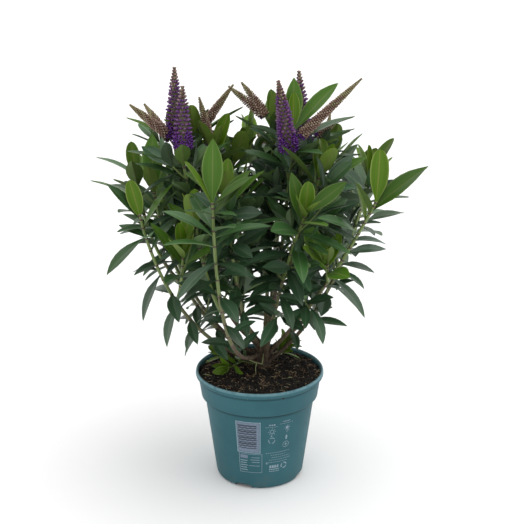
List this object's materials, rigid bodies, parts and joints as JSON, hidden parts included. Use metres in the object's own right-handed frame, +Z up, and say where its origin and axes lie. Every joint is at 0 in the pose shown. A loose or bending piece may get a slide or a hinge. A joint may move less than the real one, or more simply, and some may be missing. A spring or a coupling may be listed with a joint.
{
  "type": "potted hebe shrub",
  "caption": "Flowering hebe shrub with upright purple flower spikes and lance-shaped leaves, standing in a round plastic grower's pot.",
  "frame": {"origin": "centre of the pot's flat underside, on the surface that it stands on", "axes": "+Z up, -Y is the pictured front, +X its right"},
  "size_m": [0.4265, 0.4241, 0.5462],
  "materials": {
    "pot": "satin moulded teal plastic, lightly scuffed",
    "soil": "moist peat and bark compost with loose fibres",
    "bark": "thin brown bark, greener towards the shoots",
    "foliage": "leathery green leaves, paler underneath, on green twigs, with violet flowers"
  },
  "bodies": {
    "root": {"pot": "pot", "soil": "soil", "trunk": "bark", "bough_far_left": "bark", "bough_left": "bark", "bough_front_left": "bark", "bough_front_centre": "bark", "bough_flowering_left": "bark", "bough_upper_left": "bark", "bough_flowering_right": "bark", "bough_upper_centre": "bark", "bough_front_right": "bark", "bough_far_right": "bark", "bough_right": "bark", "bough_back_right": "bark", "bough_back_centre": "bark", "bough_back_left": "bark", "bough_left_back": "bark", "mass_far_left": "foliage", "mass_left": "foliage", "mass_front_left": "foliage", "mass_front_centre": "foliage", "mass_flowering_left": "foliage", "mass_upper_left": "foliage", "mass_flowering_right": "foliage", "mass_upper_centre": "foliage", "mass_front_right": "foliage", "mass_far_right": "foliage", "mass_right": "foliage", "mass_back_right": "foliage", "mass_back_centre": "foliage", "mass_back_left": "foliage", "mass_left_back": "foliage", "mass_sprout_left": "foliage", "mass_sprout_right": "foliage"}
  },
  "joints": []
}
